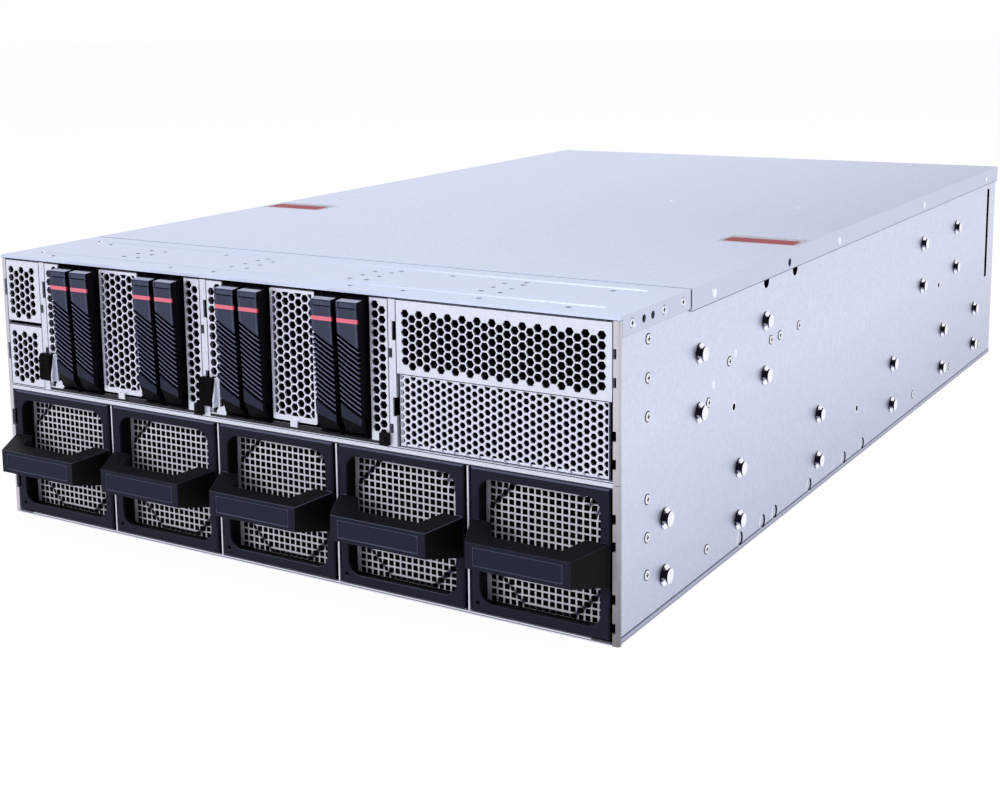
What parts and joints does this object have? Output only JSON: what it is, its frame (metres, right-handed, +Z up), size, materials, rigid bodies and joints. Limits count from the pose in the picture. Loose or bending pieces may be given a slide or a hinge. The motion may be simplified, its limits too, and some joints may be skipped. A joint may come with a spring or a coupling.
{
  "type": "rack server",
  "caption": "Deep steel rack server with hot-swap fan modules along the foot of its front, drive bays and honeycomb vents above, a slide-off top cover, rail studs and rear power supplies.",
  "frame": {"origin": "centre of the whole part's footprint, on its base plane", "axes": "+X to the right seen from the front, +Y from the front to the rear, +Z up"},
  "size_m": [0.451, 0.8454, 0.175],
  "materials": {
    "tub_steel": "galvanised steel sheet, folded",
    "front_steel": "galvanised steel sheet, punched",
    "cover_steel": "galvanised steel sheet, brushed",
    "stud_steel": "zinc-plated steel, turned",
    "screw_steel": "zinc-plated steel",
    "board": "glass-fibre board with green mask",
    "module_shroud": "anodised aluminium",
    "stop_rubber": "moulded rubber",
    "latch_plastic": "moulded black plastic",
    "bezel_plastic": "moulded dark grey plastic",
    "guard_steel": "plated steel mesh",
    "rotor_plastic": "moulded black plastic",
    "psu_case": "plated metal case",
    "carrier_plastic": "moulded grey plastic",
    "lever_plastic": "moulded grey plastic with diagonal ribs",
    "button_plastic": "moulded grey plastic"
  },
  "bodies": {
    "chassis": {"chassis_tub": "tub_steel", "front_frame": "front_steel", "front_top_panel": "cover_steel", "side_studs": "stud_steel", "panel_screws": "screw_steel", "drive_cages": "front_steel", "bay_fillers": "front_steel", "io_blanks": "front_steel", "upper_vent_panel": "front_steel", "lower_vent_panel": "front_steel", "rear_panel": "tub_steel", "circuit_boards": "board", "compute_modules": "module_shroud", "cage_stops": "stop_rubber"},
    "cover": {"top_cover": "cover_steel"},
    "fan_1": {"fan_bezel_1": "bezel_plastic", "fan_guard_1": "guard_steel"},
    "rotor_1": {"fan_rotor_1": "rotor_plastic"},
    "fan_2": {"fan_bezel_2": "bezel_plastic", "fan_guard_2": "guard_steel"},
    "rotor_2": {"fan_rotor_2": "rotor_plastic"},
    "fan_3": {"fan_bezel_3": "bezel_plastic", "fan_guard_3": "guard_steel"},
    "rotor_3": {"fan_rotor_3": "rotor_plastic"},
    "fan_4": {"fan_bezel_4": "bezel_plastic", "fan_guard_4": "guard_steel"},
    "rotor_4": {"fan_rotor_4": "rotor_plastic"},
    "fan_5": {"fan_bezel_5": "bezel_plastic", "fan_guard_5": "guard_steel"},
    "rotor_5": {"fan_rotor_5": "rotor_plastic"},
    "psu_1": {"psu_1": "psu_case"},
    "psu_2": {"psu_2": "psu_case"},
    "psu_3": {"psu_3": "psu_case"},
    "psu_4": {"psu_4": "psu_case"},
    "drive_1": {"drive_1": "carrier_plastic"},
    "lever_1": {"drive_lever_1": "lever_plastic"},
    "button_1": {"drive_button_1": "button_plastic"},
    "drive_2": {"drive_2": "carrier_plastic"},
    "lever_2": {"drive_lever_2": "lever_plastic"},
    "button_2": {"drive_button_2": "button_plastic"},
    "drive_3": {"drive_3": "carrier_plastic"},
    "lever_3": {"drive_lever_3": "lever_plastic"},
    "button_3": {"drive_button_3": "button_plastic"},
    "drive_4": {"drive_4": "carrier_plastic"},
    "lever_4": {"drive_lever_4": "lever_plastic"},
    "button_4": {"drive_button_4": "button_plastic"},
    "drive_5": {"drive_5": "carrier_plastic"},
    "lever_5": {"drive_lever_5": "lever_plastic"},
    "button_5": {"drive_button_5": "button_plastic"},
    "drive_6": {"drive_6": "carrier_plastic"},
    "lever_6": {"drive_lever_6": "lever_plastic"},
    "button_6": {"drive_button_6": "button_plastic"},
    "drive_7": {"drive_7": "carrier_plastic"},
    "lever_7": {"drive_lever_7": "lever_plastic"},
    "button_7": {"drive_button_7": "button_plastic"},
    "drive_8": {"drive_8": "carrier_plastic"},
    "lever_8": {"drive_lever_8": "lever_plastic"},
    "button_8": {"drive_button_8": "button_plastic"},
    "latch_1": {"cage_latch_1": "latch_plastic"},
    "latch_2": {"cage_latch_2": "latch_plastic"}
  },
  "joints": [
    {"name": "cover_slide", "type": "slide", "parent": "chassis", "child": "cover", "axis": [0, 1, 0], "range_m": [0, 0.012]},
    {"name": "fan_slide_1", "type": "slide", "parent": "chassis", "child": "fan_1", "axis": [0, -1, 0], "range_m": [0, 0.06]},
    {"name": "rotor_spin_1", "type": "hinge", "parent": "fan_1", "child": "rotor_1", "pos_m": [-0.176, -0.3993, 0.0434], "axis": [0, 1, 0], "continuous": true},
    {"name": "fan_slide_2", "type": "slide", "parent": "chassis", "child": "fan_2", "axis": [0, -1, 0], "range_m": [0, 0.06]},
    {"name": "rotor_spin_2", "type": "hinge", "parent": "fan_2", "child": "rotor_2", "pos_m": [-0.088, -0.3993, 0.0434], "axis": [0, 1, 0], "continuous": true},
    {"name": "fan_slide_3", "type": "slide", "parent": "chassis", "child": "fan_3", "axis": [0, -1, 0], "range_m": [0, 0.06]},
    {"name": "rotor_spin_3", "type": "hinge", "parent": "fan_3", "child": "rotor_3", "pos_m": [0, -0.3993, 0.0434], "axis": [0, 1, 0], "continuous": true},
    {"name": "fan_slide_4", "type": "slide", "parent": "chassis", "child": "fan_4", "axis": [0, -1, 0], "range_m": [0, 0.06]},
    {"name": "rotor_spin_4", "type": "hinge", "parent": "fan_4", "child": "rotor_4", "pos_m": [0.088, -0.3993, 0.0434], "axis": [0, 1, 0], "continuous": true},
    {"name": "fan_slide_5", "type": "slide", "parent": "chassis", "child": "fan_5", "axis": [0, -1, 0], "range_m": [0, 0.06]},
    {"name": "rotor_spin_5", "type": "hinge", "parent": "fan_5", "child": "rotor_5", "pos_m": [0.176, -0.3993, 0.0434], "axis": [0, 1, 0], "continuous": true},
    {"name": "psu_slide_1", "type": "slide", "parent": "chassis", "child": "psu_1", "axis": [0, 1, 0], "range_m": [0, 0.15]},
    {"name": "psu_slide_2", "type": "slide", "parent": "chassis", "child": "psu_2", "axis": [0, 1, 0], "range_m": [0, 0.15]},
    {"name": "psu_slide_3", "type": "slide", "parent": "chassis", "child": "psu_3", "axis": [0, 1, 0], "range_m": [0, 0.15]},
    {"name": "psu_slide_4", "type": "slide", "parent": "chassis", "child": "psu_4", "axis": [0, 1, 0], "range_m": [0, 0.15]},
    {"name": "drive_slide_1", "type": "slide", "parent": "chassis", "child": "drive_1", "axis": [0, -1, 0], "range_m": [0, 0.1]},
    {"name": "lever_hinge_1", "type": "hinge", "parent": "drive_1", "child": "lever_1", "pos_m": [0, -0.3997, 0.0951], "axis": [1, 0, 0], "range_deg": [0, 45]},
    {"name": "button_push_1", "type": "slide", "parent": "drive_1", "child": "button_1", "axis": [0, 1, 0], "range_m": [0, 0.0015], "stiffness_N_per_m": 300},
    {"name": "drive_slide_2", "type": "slide", "parent": "chassis", "child": "drive_2", "axis": [0, -1, 0], "range_m": [0, 0.1]},
    {"name": "lever_hinge_2", "type": "hinge", "parent": "drive_2", "child": "lever_2", "pos_m": [0, -0.3997, 0.0951], "axis": [1, 0, 0], "range_deg": [0, 45]},
    {"name": "button_push_2", "type": "slide", "parent": "drive_2", "child": "button_2", "axis": [0, 1, 0], "range_m": [0, 0.0015], "stiffness_N_per_m": 300},
    {"name": "drive_slide_3", "type": "slide", "parent": "chassis", "child": "drive_3", "axis": [0, -1, 0], "range_m": [0, 0.1]},
    {"name": "lever_hinge_3", "type": "hinge", "parent": "drive_3", "child": "lever_3", "pos_m": [0, -0.3997, 0.0951], "axis": [1, 0, 0], "range_deg": [0, 45]},
    {"name": "button_push_3", "type": "slide", "parent": "drive_3", "child": "button_3", "axis": [0, 1, 0], "range_m": [0, 0.0015], "stiffness_N_per_m": 300},
    {"name": "drive_slide_4", "type": "slide", "parent": "chassis", "child": "drive_4", "axis": [0, -1, 0], "range_m": [0, 0.1]},
    {"name": "lever_hinge_4", "type": "hinge", "parent": "drive_4", "child": "lever_4", "pos_m": [0, -0.3997, 0.0951], "axis": [1, 0, 0], "range_deg": [0, 45]},
    {"name": "button_push_4", "type": "slide", "parent": "drive_4", "child": "button_4", "axis": [0, 1, 0], "range_m": [0, 0.0015], "stiffness_N_per_m": 300},
    {"name": "drive_slide_5", "type": "slide", "parent": "chassis", "child": "drive_5", "axis": [0, -1, 0], "range_m": [0, 0.1]},
    {"name": "lever_hinge_5", "type": "hinge", "parent": "drive_5", "child": "lever_5", "pos_m": [0, -0.3997, 0.0951], "axis": [1, 0, 0], "range_deg": [0, 45]},
    {"name": "button_push_5", "type": "slide", "parent": "drive_5", "child": "button_5", "axis": [0, 1, 0], "range_m": [0, 0.0015], "stiffness_N_per_m": 300},
    {"name": "drive_slide_6", "type": "slide", "parent": "chassis", "child": "drive_6", "axis": [0, -1, 0], "range_m": [0, 0.1]},
    {"name": "lever_hinge_6", "type": "hinge", "parent": "drive_6", "child": "lever_6", "pos_m": [0, -0.3997, 0.0951], "axis": [1, 0, 0], "range_deg": [0, 45]},
    {"name": "button_push_6", "type": "slide", "parent": "drive_6", "child": "button_6", "axis": [0, 1, 0], "range_m": [0, 0.0015], "stiffness_N_per_m": 300},
    {"name": "drive_slide_7", "type": "slide", "parent": "chassis", "child": "drive_7", "axis": [0, -1, 0], "range_m": [0, 0.1]},
    {"name": "lever_hinge_7", "type": "hinge", "parent": "drive_7", "child": "lever_7", "pos_m": [0, -0.3997, 0.0951], "axis": [1, 0, 0], "range_deg": [0, 45]},
    {"name": "button_push_7", "type": "slide", "parent": "drive_7", "child": "button_7", "axis": [0, 1, 0], "range_m": [0, 0.0015], "stiffness_N_per_m": 300},
    {"name": "drive_slide_8", "type": "slide", "parent": "chassis", "child": "drive_8", "axis": [0, -1, 0], "range_m": [0, 0.1]},
    {"name": "lever_hinge_8", "type": "hinge", "parent": "drive_8", "child": "lever_8", "pos_m": [0, -0.3997, 0.0951], "axis": [1, 0, 0], "range_deg": [0, 45]},
    {"name": "button_push_8", "type": "slide", "parent": "drive_8", "child": "button_8", "axis": [0, 1, 0], "range_m": [0, 0.0015], "stiffness_N_per_m": 300},
    {"name": "latch_hinge_1", "type": "hinge", "parent": "chassis", "child": "latch_1", "pos_m": [0, -0.4018, 0.0976], "axis": [1, 0, 0], "range_deg": [0, 60]},
    {"name": "latch_hinge_2", "type": "hinge", "parent": "chassis", "child": "latch_2", "pos_m": [0, -0.4018, 0.0976], "axis": [1, 0, 0], "range_deg": [0, 60]}
  ]
}
